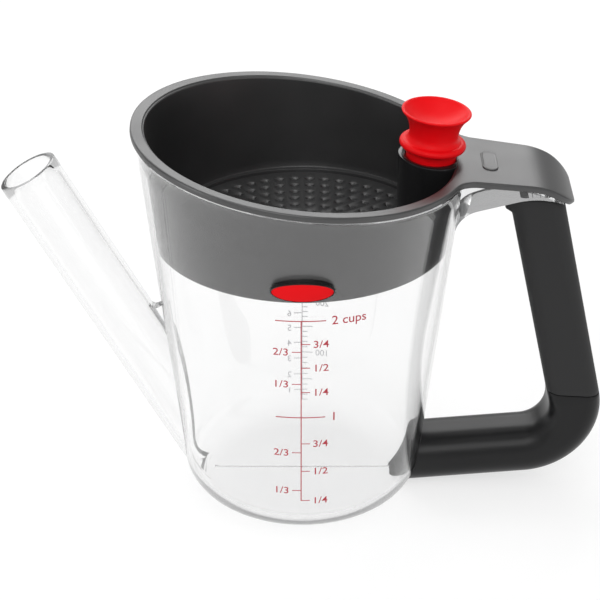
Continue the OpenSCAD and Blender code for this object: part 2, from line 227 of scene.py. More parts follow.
BEAD = 1.9
phi = np.linspace(0, 2 * np.pi, 192, endpoint=False)
outside = cup_side(0, 0, SEAT + BEAD, 26, 7)
edge = [(-0.12, SEAT + 1.55), (-0.36, SEAT + 1.2), (-0.45, SEAT + 0.8), (-0.4, SEAT + 0.4),
        (-0.2, SEAT + 0.12), (0.1, SEAT), (CUP_WALL - 0.4, SEAT), (CUP_WALL - 0.1, SEAT + 0.12)]
edge_z = [rim_meets(phi, inset, drop) for inset, drop in edge]
lip = np.stack([around(wall_r(z) - e[0], phi, z) for z, e in zip(edge_z, edge)])
inside = over_valley(cup_side(CUP_WALL, FLOOR_T, SEAT + 0.4, 26, 20))
clear_cup = surface("clear_cup", np.concatenate([outside, lip, inside[::-1]]))
report(clear_cup)

# %% [markdown]
# The spout is a round tube that leans 29 degrees and dives into the cup near its floor. Its
# solid rod is first trimmed to the foot's rounding, then everything inside the middle of the
# cup's wall is taken away, so the union meets no face that lies in the same place. The tube
# has many narrow faces, because clear plastic shows each of them at its edge.

# %% Spout rod and bore
LEAN = math.radians(28.9)
SPOUT_R, BORE_R, SPOUT_FOOT, SPOUT_LEN, SPOUT_FACES = 10.0, 8.2, 24.2, 130.7, 384
BORE_START = (FLOOR_T + 0.1 + BORE_R * math.sin(LEAN)) / math.cos(LEAN)


def along_spout(profile):
    """Round surface on the spout's leaning axis, from (radius, way along the axis) pairs."""
    a = np.linspace(0, 2 * np.pi, SPOUT_FACES, endpoint=False)[None, :]
    r, v = np.asarray(profile, float).T[:, :, None]
    x = -SPOUT_FOOT + r * np.cos(a) * math.cos(LEAN) - v * math.sin(LEAN)
    z = r * np.cos(a) * math.sin(LEAN) + v * math.cos(LEAN)
    return np.stack([x, r * np.sin(a) + 0 * v, z], -1)


def spaced(r, low, high):
    """Pairs of one radius at steps of about 4 mm, so that long walls have faces of fair length."""
    return [(r, v) for v in np.linspace(low, high, int((high - low) / 4))]


end = SPOUT_LEN
rod = surface("rod", along_spout(
    [(0, -4)] + spaced(SPOUT_R, -4, end - 0.5) + [(9.86, end - 0.14), (9.5, end), (0, end)]))
bore = surface("bore", along_spout(
    [(0, BORE_START)] + spaced(BORE_R, BORE_START, end - 0.45)
    + [(8.34, end - 0.12), (8.7, end + 0.01), (8.8, end + 3), (0, end + 3)]))
foot_room = foot_arc(-CUP_WALL, 0, 60)
foot_room = foot_room[(foot_room[:, 1] > 1) & (foot_room[:, 1] < 6)]
room = [(0, 1), (foot_room[0, 0], 1), *foot_room.tolist(), (150, 6.2), (150, 160), (0, 160)]
room = np.asarray(room)
allowed = surface("allowed", around(room[:, :1], phi[None, :], room[:, 1:]))
middle = surface("middle", np.concatenate([
    cup_side(CUP_WALL / 2, FLOOR_T / 2, -30, 12, 7), around(0, phi, 200)[None]]))
report(rod)
report(bore)

# %% [markdown]
# The upper arm of the handle is a clear bracket under the strainer's tail: a side outline with
# an arch beside the cup and a hollow crown that sits on the grip, made 22 mm wide. Its long
# edges get a small bevel before it is joined, as a moulding has.

# %% Line of the tail above it
BEND_X, BEND_R = 71.5, 22.0
BEND = (BEND_X - BEND_R * math.sin(TILT),
        RIM_H - BEND_X * TILT_T - BEND_R * math.cos(TILT))


def tail_top(x):
    """Height of the tail's top: the rim plane, then a round arch past BEND_X."""
    bent = np.sqrt(np.maximum(BEND_R**2 - (x - BEND[0]) ** 2, 0)) + BEND[1]
    return np.where(x < BEND_X, RIM_H - TILT_T * x, bent)


def tail_normal(x):
    """Upward normal of the tail's top in X and Z."""
    s = np.clip((x - BEND[0]) / BEND_R, math.sin(TILT), 1)
    return s, np.sqrt(1 - s**2)


def below_tail(x, depth):
    """Points a depth under the tail's top, for the x at which the top's normal stands."""
    s, c = tail_normal(x)
    return np.stack([x - depth * s, tail_top(x) - depth * c], -1)


print("tail's top at its bend and end:", tail_top(np.array([BEND_X, 86.1])).round(1), "mm")

# %% Upper arm outline
ARCH = (57.5, 96.2, 9.4)
CROWN = (73.8, 83.8, 25.5)
ARM_START, ARM_END, ARM_HW = 44.0, 82.4, 11.0
TAIL_T, TAIL_GAP = 2.0, 0.4


def angle_of(circle, x, z):
    """Direction in degrees from a circle's centre to a point."""
    return math.degrees(math.atan2(z - circle[1], x - circle[0]))


link = (np.hypot(CROWN[0] - ARCH[0], CROWN[1] - ARCH[1]), CROWN[2] - ARCH[2])
link_a = math.degrees(math.asin(link[1] / link[0])
                      + math.atan2(CROWN[1] - ARCH[1], CROWN[0] - ARCH[0])) + 90
end_z = CROWN[1] + math.sqrt(CROWN[2] ** 2 - (ARM_END - CROWN[0]) ** 2)
under = np.concatenate([
    arc(ARCH[:2], ARCH[2], 180, link_a, 18),
    arc(CROWN[:2], CROWN[2], link_a, angle_of(CROWN, ARM_END, end_z), 22)])
over = below_tail(np.linspace(ARM_END + 1.67, BEND_X, 14), TAIL_T + TAIL_GAP)
over = over[over[:, 0] <= ARM_END]
flat = below_tail(np.linspace(BEND_X, ARM_START + 0.2, 10)[1:], TAIL_T + TAIL_GAP)
outline = np.concatenate([under, over, flat, [[ARM_START, ARCH[1]]]])
print("upper arm outline:", len(outline), "points, crown leaves the line at", round(link_a, 1))

# %% [markdown]
# The clear solids are joined with the exact Boolean, which finds each crossing of two closed
# surfaces. They could be left as they are, laid over each other, but then every wall inside
# would bend the light once more. A Boolean leaves the joined mesh in the modifier, so its
# result is taken over as the object's own mesh.


# %% Prisms and Booleans
def prism(name, line, half):
    """Side outline carried straight across Y, with flat ends."""
    n = len(line)
    points = np.zeros((2, n, 3))
    points[:, :, 0], points[:, :, 2] = line[:, 0], line[:, 1]
    points[0, :, 1], points[1, :, 1] = -half, half
    ends = [list(range(n)), list(range(2 * n - 1, n - 1, -1))]
    return solid(name, points, grid_quads(2, n).tolist() + ends)


def outcome(obj):
    """Mesh that comes out of an object's modifiers, or out of its text curve."""
    graph = bpy.context.evaluated_depsgraph_get()
    return bpy.data.meshes.new_from_object(obj.evaluated_get(graph))


def settle(obj):
    """Replaces an object's mesh by what its modifiers make of it."""
    mesh = outcome(obj)
    obj.modifiers.clear()
    obj.data = mesh
    mesh.name = obj.name


def carve(obj, *steps):
    """Joins or cuts solids one after another with the exact Boolean."""
    for tool, how in steps:
        mod = obj.modifiers.new(how.lower(), "BOOLEAN")
        mod.object, mod.operation, mod.solver = tool, how, "EXACT"
        settle(obj)


def round_edges(obj, width, angle):
    """Rounds the edges sharper than the angle in degrees, by a width in mm."""
    mod = obj.modifiers.new("edges", "BEVEL")
    mod.width, mod.segments, mod.limit_method = width / 1000, 3, "ANGLE"
    mod.angle_limit = math.radians(angle)
    settle(obj)


arm = prism("arm", outline, ARM_HW)
round_edges(arm, 0.6, 50)
report(arm)

# %% [markdown]
# Two details of the moulding show as fine lines. A thin web fills the corner between the spout
# and the cup: a prism with a hollow top, sunk a little into both walls. A drain line runs
# along the valley of the floor towards the spout: a shallow groove, cut out at the end.

# %% Web and drain line
WEB_LOW, WEB_HIGH, WEB_SAG, WEB_HW, WEB_SUNK = 56.0, 67.5, 1.9, 1.9, 0.9
DRAIN_HALF = 30
web_z = np.linspace(WEB_LOW, WEB_HIGH, 8)
tube_x = (-SPOUT_FOOT + SPOUT_R * math.cos(LEAN) - WEB_SUNK
          - math.tan(LEAN) * (web_z - SPOUT_R * math.sin(LEAN)))
wall_x = WEB_SUNK - wall_r(web_z)
across = np.linspace(0, 1, 9)[1:-1]
web = prism("web", np.concatenate([
    np.stack([wall_x, web_z], -1),
    np.stack([wall_x[-1] + across * (tube_x[-1] - wall_x[-1]),
              WEB_HIGH - WEB_SAG * np.sin(np.pi * across)], -1),
    np.stack([tube_x, web_z], -1)[::-1][:-1]]), WEB_HW)
round_edges(web, 0.9, 60)
groove = prism("groove", np.array([(-0.55, 2.7), (-0.28, 2.48), (0, 2.42), (0.28, 2.48),
                                   (0.55, 2.7), (0.55, 4), (-0.55, 4)]), 1)
turned = coords(groove.data)[:, [1, 0, 2]] * [-DRAIN_HALF, 1, 1]
groove.data.vertices.foreach_set("co", turned.ravel())
report(web)
report(groove)

# %% Join the clear cup
carve(rod, (allowed, "INTERSECT"), (middle, "DIFFERENCE"))
carve(arm, (middle, "DIFFERENCE"))
carve(clear_cup, (rod, "UNION"), (web, "UNION"), (arm, "UNION"),
      (groove, "DIFFERENCE"), (bore, "DIFFERENCE"))
for tool in (rod, web, arm, bore, groove, allowed, middle):
    bpy.data.objects.remove(tool)
close_up(clear_cup.data, 1e-6)
shade(clear_cup.data, 28)
report(clear_cup)

# %% [markdown]
# ## Strainer shell
# Basket wall, rim and tail are one moulding. It could be three meshes laid together, but then
# their seams would show. Here it is one closed surface: a profile that runs from the ledge up
# the inner wall, over the rim and down the outer wall, carried round the cup. Its outer end
# follows the rim's circle, and on the handle side the outline of the tail.

# %% Outline of rim and tail
FLANGE_OVER, STOPPER_X = 0.7, 40.7
TAIL_HW, TAIL_END_HW, TAIL_LEN, CORNER_R, FILLET_R = 16.8, 15.3, 86.1, 7.6, 9.0


def rim_circle(angle):
    """Radius of the rim's outer edge on its slanted plane."""
    return wall_r(rim_meets(angle, -FLANGE_OVER, 0)) + FLANGE_OVER


near_r = wall_r(RIM_H - TILT_T * STOPPER_X) + FLANGE_OVER
fillet_y = TAIL_HW + FILLET_R
fillet_x = math.sqrt((near_r + FILLET_R) ** 2 - fillet_y**2)
start = math.degrees(math.atan2(fillet_y, fillet_x))
corner = (TAIL_LEN - CORNER_R, TAIL_END_HW - CORNER_R)
half_tail = np.concatenate([
    arc((fillet_x, fillet_y), FILLET_R, start - 180, -90, 14),
    np.linspace((fillet_x, TAIL_HW), (corner[0], TAIL_END_HW), 22)[1:],
    arc(corner, CORNER_R, 90, 0, 16)[1:],
    np.linspace((TAIL_LEN, corner[1]), (TAIL_LEN, 0), 8)[1:]])
theta_rim = np.linspace(math.radians(start), 2 * np.pi - math.radians(start), 176)[1:-1]
rim_line = around(rim_circle(theta_rim), theta_rim, 0)[:, :2]
plan = np.concatenate([half_tail[:-1] * [1, -1], half_tail[::-1], rim_line])
theta = np.arctan2(plan[:, 1], plan[:, 0])
step = np.roll(plan, -1, 0) - np.roll(plan, 1, 0)
inward = np.stack([-step[:, 1], step[:, 0]], -1) / np.linalg.norm(step, axis=1)[:, None]
print("rim and tail outline:", len(plan), "points, tail from", round(start, 1), "degrees")

# %% [markdown]
# The stopper's pocket cuts a little into the wall beside the tail, so the inner wall steps
# back there to the pocket's bore. Its axis leans 5 degrees towards the handle.

# %% Lines of the strainer shell
BASKET_IN, BOWL_IN = 2.05, 3.45
STOPPER_LEAN, STOPPER_Z = math.radians(5), RIM_H - TILT_T * STOPPER_X
PLUG_LEN, PLUG_R, PLUG_END_R, PLUG_GAP, BORE_DEPTH = 17.97, 8.0, 7.3, 0.15, 19


def clear_of_bore(r, angle, z):
    """Radius pushed out to the far side of the leaning bore, where the bore crosses it."""
    v = (z - STOPPER_Z) / math.cos(STOPPER_LEAN)
    across = STOPPER_X + v * math.sin(STOPPER_LEAN)
    bore = PLUG_R + PLUG_GAP + np.clip(v, -BORE_DEPTH, 0) * (PLUG_R - PLUG_END_R) / BORE_DEPTH
    reach = bore**2 - (across * np.sin(angle)) ** 2
    far = across * np.cos(angle) + np.sqrt(np.maximum(reach, 0))
    cut = (reach > 0) & (np.cos(angle) > 0) & (v > -BORE_DEPTH)
    return np.where(cut, np.maximum(r, far + 0.02), r)


def shell_point(inset, drop):
    """Ring on the cone set in by inset, where it meets the rim plane lowered by drop."""
    z = rim_meets(theta, inset, drop)
    return around(clear_of_bore(wall_r(z) - inset, theta, z), theta, z)


def shell_wall(inset, low, drop, count):
    """Rows up a wall of the basket, from a height to the rim plane lowered by drop."""
    t = np.linspace(0, 1, count)[:, None]
    z = low + t * (rim_meets(theta, inset, drop)[None, :] - low)
    return around(clear_of_bore(wall_r(z) - inset, theta[None, :], z), theta[None, :], z)


def tail_rows(plans, depth):
    """Points under the top surface by depth, for plan points of the top surface."""
    xz = below_tail(plans[..., 0], depth)
    return np.stack([xz[..., 0], plans[..., 1], xz[..., 1]], -1)


def rings(pairs):
    """Level rings round the cup's axis, from pairs of a radius and a height."""
    return np.stack([around(r, theta, z) for r, z in pairs])


print("inner wall at the tail:", shell_point(BOWL_IN, 1.1)[0].round(1), "mm")

# %% [markdown]
# The shell's rows are listed in order: the ledge that holds the grille, the inner wall, a
# stepped lip below the rim, the top out to the outline, the rounded edge, the underside back
# to the cup, and the outer wall down. Joined end to start, they leave no seam.

# %% Strainer shell surface
STRAINER_H, LEDGE_Z, GRILLE_Z, GRILLE_LOW, GRILLE_R = 93.1, 94.1, 92.9, 91.5, 44.09
low_in = [(GRILLE_R, GRILLE_LOW), (GRILLE_R, LEDGE_Z - 0.3), (GRILLE_R + 0.09, LEDGE_Z - 0.09),
          (GRILLE_R + 0.3, LEDGE_Z), (wall_r(LEDGE_Z) - BOWL_IN - 0.5, LEDGE_Z),
          (wall_r(LEDGE_Z) - BOWL_IN - 0.12, LEDGE_Z + 0.15)]
low_out = [(wall_r(STRAINER_H) - BASKET_IN, STRAINER_H + 0.25),
           (wall_r(STRAINER_H) - BASKET_IN - 0.3, STRAINER_H - 0.17)]
step_in = [(3.45, 0.8), (3.37, 0.58), (3.2, 0.5), (3.05, 0.47), (2.96, 0.36), (2.93, 0.15),
           (2.86, 0.04), (2.7, 0.0)]
top_in = shell_point(*step_in[-1])
fade = np.linspace(0, 1, 17)[1:, None, None]
top = tail_rows(top_in[None, :, :2] * (1 - fade) + (plan + 0.6 * inward)[None] * fade, 0)
rounding = [(0.25, 0.08), (0.07, 0.28), (0.0, 0.6), (0.0, 1.5), (0.1, 1.86), (0.3, 2.0)]
side = np.stack([tail_rows(plan + e * inward, d) for e, d in rounding])
seat_plan = shell_point(BASKET_IN, TAIL_T)[:, :2] + [TAIL_T * math.sin(TILT), 0]
under_rows = tail_rows((plan + 0.3 * inward)[None] * (1 - fade) + seat_plan[None] * fade, TAIL_T)
shell_grid = np.concatenate([
    rings(low_in), shell_wall(BOWL_IN, LEDGE_Z + 0.5, 1.1, 14),
    np.stack([shell_point(*pair) for pair in step_in]), top, side, under_rows,
    shell_wall(BASKET_IN, STRAINER_H + 0.6, TAIL_T, 12)[::-1][1:], rings(low_out)])
strainer_shell = surface("strainer_shell", shell_grid, close_rows=True, angle=40)
report(strainer_shell)

# %% [markdown]
# ## Grille
# The floor of the basket is a thin plate with rings of drain holes, six more on each ring. A
# moulded hole tapers, so that it lets go of its pin: its mouth is wide and soft, and its lower
# end is small. All holes are one mesh of tapered plugs, worked out as a single array, which
# the exact Boolean takes out of the plate.

# %% Tapered plugs for the holes
RINGS, PITCH, OVAL, POCKET_R = np.arange(1, 9), 4.88, 20, 10.5
ring = np.repeat(RINGS, 6 * RINGS)
count = np.concatenate([np.arange(6 * n) for n in RINGS])
turned = np.radians(90 + (count + 0.5) * 60 / ring)
at = PITCH * ring[:, None] * np.stack([np.cos(turned), np.sin(turned)], -1)
kept = np.hypot(at[:, 0] - STOPPER_X, at[:, 1]) > POCKET_R + 1.7
at, turned = at[kept], turned[kept] + math.pi / 2
oval = np.linspace(0, 2 * np.pi, OVAL, endpoint=False)
levels = np.array([(0.5, 4.6, 3.4), (0.0, 3.8, 2.6), (-0.12, 3.4, 2.2), (-0.45, 3.1, 1.9),
                   (-1.0, 2.3, 1.2), (-1.9, 2.1, 1.0)])
long = levels[:, 1:2] / 2 * np.cos(oval)
wide = levels[:, 2:3] / 2 * np.sin(oval)
c, s = np.cos(turned)[:, None, None], np.sin(turned)[:, None, None]
plugs = np.stack([at[:, :1, None] + c * long - s * wide, at[:, 1:, None] + s * long + c * wide,
                  np.broadcast_to(GRILLE_Z + levels[:, :1], (len(at), len(levels), OVAL))], -1)
each = len(levels) * OVAL
base = np.arange(len(at))[:, None, None] * each
quads = (grid_quads(len(levels), OVAL)[None] + base).reshape(-1, 4).tolist()
ends = np.stack([np.arange(OVAL), np.arange(each - 1, each - 1 - OVAL, -1)])[None] + base
holes = solid("plugs", plugs, quads + ends.reshape(-1, OVAL).tolist())
print(len(at), "drain holes")

# %% Plate with its holes
disc = [(r, GRILLE_LOW) for r in (0, 15, 30, 40)] + [(GRILLE_R, GRILLE_LOW), (GRILLE_R, GRILLE_Z)]
disc = np.array(disc + [(r, GRILLE_Z) for r in (40, 30, 15, 0)])
drain_grille = surface("drain_grille", around(disc[:, :1], phi[None, :], disc[:, 1:]))
carve(drain_grille, (holes, "DIFFERENCE"))
bpy.data.objects.remove(holes)
close_up(drain_grille.data, 1e-7)
shade(drain_grille.data, 50)
report(drain_grille)

# %% [markdown]
# ## Stopper pocket
# The half column in the basket that stores the stopper: an upright round column that runs
# into the basket's wall, with a bore that leans with the stopper. One surface does both: its
# rows climb the column, turn over the rim and go down the bore. Where the column would pass
# through the basket's wall it stays buried in it.

# %% Pocket surface
POCKET_ROOM = 1.0
turn = np.linspace(0, 2 * np.pi, 96, endpoint=False)


def on_stopper(u, v):
    """Ring of radius u, v above the rim plane, on the stopper's leaning axis."""
    s, c = math.sin(STOPPER_LEAN), math.cos(STOPPER_LEAN)
    return np.stack([STOPPER_X + v * s + u * np.cos(turn) * c, u * np.sin(turn) + 0 * v,
                     STOPPER_Z + v * c - u * np.cos(turn) * s], -1)


def column(r, t, drop=0.15):
    """Ring of the upright column, a part t of the way up to the slanted top, inside the wall."""
    x, y = STOPPER_X + r * np.cos(turn), r * np.sin(turn)
    z = GRILLE_Z + 0.02 + t * (RIM_H - TILT_T * x - drop - GRILLE_Z - 0.02)
    limit = np.where(z < LEDGE_Z + 0.5, GRILLE_R + 0.6, wall_r(z) - BOWL_IN + 0.9)
    keep = np.minimum(1, limit / np.hypot(x, y))
    return np.stack([x * keep, y * keep, z], -1)


pocket_rows = [column(0, 0), column(POCKET_R * 0.5, 0)]
pocket_rows += [column(POCKET_R, t) for t in np.linspace(0, 1, 30)[:-1]]
pocket_rows += [column(POCKET_R, 1, 0.7), column(POCKET_R - 0.12, 1, 0.32)]
pocket_rows += [column(POCKET_R - 0.5, 1), column(9.2, 1)]
pocket_rows += [on_stopper(8.75, -0.17), on_stopper(8.35, -0.3), on_stopper(8.2, -0.7)]
bore_r = PLUG_R + PLUG_GAP
taper = (PLUG_R - PLUG_END_R) / BORE_DEPTH
pocket_rows += [on_stopper(bore_r + taper * v, v) for v in np.linspace(-1.5, -18.9, 14)]
pocket_rows += [on_stopper(0, -PLUG_LEN - POCKET_ROOM)]
stopper_column = surface("stopper_column", np.stack(pocket_rows))
report(stopper_column)

# %% [markdown]
# ## Stopper
# A soft red plug with a collar and a dished knob. It is turned from one half profile, whose
# corners are softened first, because silicone comes out of its mould with no crisp edge.


# %% Stopper surface
def soften(line):
    """Cuts each inner corner of a line at a quarter of its legs, as moulded edges are."""
    a, b = line[:-1], line[1:]
    cut = np.stack([0.75 * a + 0.25 * b, 0.25 * a + 0.75 * b], 1).reshape(-1, 2)
    return np.concatenate([line[:1], cut[1:-1], line[-1:]])


neck, collar, flare, dish = 7.8, 4.0, 10.0, 14.49
dish_line = np.linspace(10.0, 0, 22)
profile = np.concatenate([
    [(0, -PLUG_LEN), (4.0, -PLUG_LEN), (6.5, -PLUG_LEN), (7.22, -PLUG_LEN + 0.5)],
    np.linspace((7.35, -PLUG_LEN + 2), (8.0, -0.2), 10), [(8.0, 1.6), (8.0, 2.6), (8.6, 2.8)],
    arc((9.4, collar), 1.2, -90, 90, 13), arc((10.6, 7.4), 2.8, 232, 180, 9),
    arc((neck + flare, 7.4), flare, 178, 134, 16), [(11.08, 14.95), (10.98, 15.22), (10.6, 15.4)],
    np.stack([dish_line, 15.4 + dish - 4.2 - np.sqrt(dish**2 - dish_line**2)], -1)])
profile = soften(profile)
red_stopper = surface("red_stopper", on_stopper(profile[:, :1], profile[:, 1:]), angle=60)
report(red_stopper)

# %% [markdown]
# ## Handle
# The lower arm, the elbow and the grip are one rounded rectangle carried along a path. A
# curve with a bevel could do this, but its ends would be flat. Here each line of the section
# ends exactly on what it meets: the cup's wall at one end and the crown under the clear arm at
# the other, so the joints close without a gap. The seam between hard elbow and soft grip is
# tilted, higher on the cup's side, as the hand meets it.

# %% Handle path
HANDLE_T, HANDLE_W = 17.0, 22.0
ARM_H, RISE, ELBOW_R, GRIP_LEAN, GRIP_FOOT = 9.6, math.radians(5), 18.0, math.radians(12.5), 98.1
ARM_X0 = float(wall_r(ARM_H))
TURN = math.pi / 2 + GRIP_LEAN - RISE
meet_x = (GRIP_FOOT - math.tan(GRIP_LEAN) * (ARM_H - math.tan(RISE) * ARM_X0)) / (
    1 + math.tan(GRIP_LEAN) * math.tan(RISE))
meet_z = ARM_H + math.tan(RISE) * (meet_x - ARM_X0)
tangent = ELBOW_R * math.tan(TURN / 2)
elbow = np.array([meet_x - math.cos(RISE) * tangent, meet_z - math.sin(RISE) * tangent])
seam = np.array([meet_x - math.sin(GRIP_LEAN) * tangent, meet_z + math.cos(GRIP_LEAN) * tangent])
arm_len = (elbow[0] - ARM_X0) / math.cos(RISE)
ARM_ROUND, GRIP_ROUND, SEAM_UP, SEAM_SLOPE = 8.2, 4.6, 2.6, math.tan(math.radians(16))


def rounded(t, w, r):
    """Rounded rectangle as pairs (p, q): p towards the cup, q across, all sizes same count."""
    parts = [arc((sp * (t / 2 - r), sq * (w / 2 - r)), r, 90 * i, 90 * i + 90, 14)
             for i, (sp, sq) in enumerate([(1, 1), (-1, 1), (-1, -1), (1, -1)])]
    starts = [parts[(i + 1) % 4][0] for i in range(4)]
    fills = [np.linspace(part[-1], b, 5)[1:-1] for part, b in zip(parts, starts)]
    return np.concatenate([x for pair in zip(parts, fills) for x in pair])


def section(inset=0.0, corner_r=GRIP_ROUND):
    """The handle's section, made smaller all round by inset."""
    return rounded(HANDLE_T - 2 * inset, HANDLE_W - 2 * inset, corner_r - inset)


def seam_s(pq):
    """Way of the seam above the elbow's arc: SEAM_UP at the middle, higher towards the cup."""
    return SEAM_UP + SEAM_SLOPE * pq[..., 0]


core = rounded(10.04, 14.04, 2.52)
print("elbow at", elbow.round(1), "seam at", seam.round(1), "turn", round(math.degrees(TURN), 1))

# %% [markdown]
# Three functions place a section: on the lower arm's line, round the elbow's arc, and on the
# grip's line. The cup's foot is curved, so the way at which each line of the arm leaves it is
# found by halving an interval forty times, for all lines at once.


# %% Places along the handle
def arm_point(pq, s):
    """Point s along the lower arm's line, from where its axis leaves the cup."""
    x = ARM_X0 + s * math.cos(RISE) - pq[..., 0] * math.sin(RISE)
    z = ARM_H + s * math.sin(RISE) + pq[..., 0] * math.cos(RISE)
    return np.stack([x, pq[..., 1] + 0 * x, z], -1)


def cup_radius(z):
    """Outer radius of the cup at height z, with the foot's rounding."""
    foot = foot_arc(0, 0, 2)
    curve = foot[0, 0] + np.sqrt(
        np.maximum(FOOT_ROUND**2 - (FOOT_ROUND - np.clip(z, 0, None)) ** 2, 0))
    return np.where(z > foot[1, 1], wall_r(z), curve)


def reach_cup(pq, off=0.03):
    """Way along each line of the arm at which it leaves the cup, found by halving."""
    low, high = np.full(len(pq), -22.0), np.full(len(pq), 4.0)
    for _ in range(40):
        mid = (low + high) / 2
        point = arm_point(pq, mid)
        within = np.hypot(point[:, 0], point[:, 1]) < cup_radius(point[:, 2]) + off
        low, high = np.where(within, mid, low), np.where(within, high, mid)
    return (low + high) / 2


def bend_point(pq, angle):
    """Point of the section at an angle round the elbow, from the end of the lower arm."""
    centre = elbow + ELBOW_R * np.array([-math.sin(RISE), math.cos(RISE)])
    r, a = ELBOW_R - pq[..., 0], RISE - math.pi / 2 + angle
    return np.stack([centre[0] + r * np.cos(a), pq[..., 1] + 0 * r, centre[1] + r * np.sin(a)], -1)


def grip_point(pq, s):
    """Point of the section s above the seam, on the grip's leaning line."""
    x = seam[0] - s * math.sin(GRIP_LEAN) - pq[..., 0] * math.cos(GRIP_LEAN)
    z = seam[1] + s * math.cos(GRIP_LEAN) - pq[..., 0] * math.sin(GRIP_LEAN)
    return np.stack([x, pq[..., 1] + 0 * x, z], -1)


print("the arm's lines leave the cup from", reach_cup(section()).min().round(1), "mm on")

# %% Lower arm and elbow
full = section(0, ARM_ROUND)
rows = [arm_point(full * k, reach_cup(full * k)) for k in (0, 0.35, 0.7, 0.93)]
first = reach_cup(full)
rows += [arm_point(full, first + t * (arm_len - first)) for t in np.linspace(0, 1, 14)[:-1]]
for t in np.linspace(0, 1, 44)[:-1]:
    squarer = section(0, ARM_ROUND + (GRIP_ROUND - ARM_ROUND) * t**2)
    rows.append(bend_point(squarer, t * TURN))
for inset, s in [(0, -0.4), (0.13, -0.12), (0.45, -0.03)]:
    rows.append(grip_point(section(inset), seam_s(section(inset)) + s))
rows += [grip_point(core, seam_s(core) - 0.03), grip_point(core, -12), grip_point(core * 0, -12)]
arm_and_elbow = surface("arm_and_elbow", np.stack(rows), angle=45)
report(arm_and_elbow)

# %% [markdown]
# The grip is a sleeve of soft rubber over a stiff core. It is a tube: its outer face rises
# from the seam, swells into a small lip on the finger side, ends on the crown's curve, and
# its inner face goes back down along the core.


# %% Grip sleeve
def crown_reach(pq, under=0.04):
    """Way along the grip at which a line of the section meets the crown's circle."""
    base = grip_point(pq, 0.0)
    a, b = base[..., 0] - CROWN[0], base[..., 2] - CROWN[1]
    half = -a * math.sin(GRIP_LEAN) + b * math.cos(GRIP_LEAN)
    return -half + np.sqrt(half**2 - a**2 - b**2 + (CROWN[2] - under) ** 2)


def ease(x):
    """Smooth step from 0 to 1."""
    x = np.clip(x, 0, 1)
    return x * x * (3 - 2 * x)


def with_lip(pq, s):
    """Section with the finger side moved out near the top, as the lip of the grip."""
    z = grip_point(pq, s)[..., 2]
    side = ease((pq[:, 0] - 3) / 4) * ease((11.2 - abs(pq[:, 1])) / 4)
    out = 2.0 * ease((z - 103.2) / 2.6) * side
    return np.stack([pq[:, 0] + out, pq[:, 1]], -1)


def sleeve_row(inset, t, short):
    """Ring of the sleeve, a part t of the way from the seam to short of the crown."""
    flat = section(inset)
    top = crown_reach(with_lip(flat, 1e3)) - short
    low = seam_s(flat) + 0.6
    s = low + t * (top - low)
    return grip_point(with_lip(flat, s), s)


rows = [grip_point(section(i), seam_s(section(i)) + s) for i, s in [(0.45, 0.05), (0.13, 0.2)]]
rows += [sleeve_row(0, t, 0.8) for t in np.linspace(0, 1, 44)]
rows += [sleeve_row(0.15, 1, 0.3), sleeve_row(0.6, 1, 0.05)]
lip_ring = with_lip(section(1.2), 1e3)
for t in (0, 0.5, 1):
    ring = lip_ring * (1 - t) + core * t
    rows.append(grip_point(ring, crown_reach(ring)))
rows += [grip_point(core, s) for s in (60, 45, 30, 15)]
rows += [grip_point(core, seam_s(core) + 0.05)]
soft_grip = surface("soft_grip", np.stack(rows), close_rows=True, angle=40)
report(soft_grip)

# %% [markdown]
# ## Badge and pad
# The oval badge on the band and the pad on the tail are plain: a black backing with a domed
# red inlay, and a low cushion. Both are an outline filled by rings, lifted by a profile.

# %% Badge pieces
BADGE = (19.9 / 2, 6.6 / 2, 98.1)


def badge_ring(part, lift):
    """Oval ring on the front of the cup wall, a part of the badge's size, lifted off it."""
    x = BADGE[0] * part * np.cos(turn)
    z = BADGE[2] + BADGE[1] * part * np.sin(turn)
    return np.stack([x, -np.sqrt((wall_r(z) + lift) ** 2 - x**2), z], -1)


backing = [(0, 0.03), (0.5, 0.03), (1, 0.03), (1, 0.9), (0.998, 1.25), (0.99, 1.42), (0.975, 1.5),
           (0.955, 1.47), (0.95, 1.3), (0.95, 0.8), (0.5, 0.8), (0, 0.8)]
badge_black = surface("badge_black", np.stack([badge_ring(*pair) for pair in backing]))
inlay = [(0, 0.82), (0.5, 0.82), (0.945, 0.82), (0.945, 1.3), (0.93, 1.42), (0.88, 1.49)]
inlay += [(k, 1.49 + 0.16 * (1 - (k / 0.88) ** 2)) for k in (0.7, 0.5, 0.25, 0)]
badge_red = surface("badge_red", np.stack([badge_ring(*pair) for pair in inlay]))
report(badge_black)
report(badge_red)

# %% [markdown]
# The pad on the tail is the same kind of surface on the slanted plane: straight sides with
# round ends, a raised border and a shallow dish.

# %% Pad on the tail
PAD_X, PAD_L, PAD_W = 59.6, 9.2, 5.0


def pad_ring(part, lift):
    """Ring of a slot-shaped cushion on the tail, a part of its size, lifted off the tail."""
    u = PAD_W / 2 * part * np.cos(turn)
    v = PAD_W / 2 * part * np.sin(turn) + PAD_L / 2 * np.sign(np.sin(turn)) * part
    s, c = math.sin(TILT), math.cos(TILT)
    along = PAD_X + u
    return np.stack([along * c + lift * s, v, RIM_H - along * s + lift * c], -1)


pad = [(0, -0.1), (1, -0.1), (1, 0.16), (0.985, 0.32), (0.93, 0.42), (0.86, 0.4), (0.8, 0.32),
       (0.7, 0.3), (0, 0.36)]
tail_cushion = surface("tail_cushion", np.stack([pad_ring(*pair) for pair in pad]))
report(tail_cushion)

# %% [markdown]
# ## Printed scales
# The front carries a red scale in cups, and the back a grey one in fluid ounces and
# millilitres. Print is a thin skin of ink, so each mark is a flat shape that is wrapped round
# the cone a hair off its face.


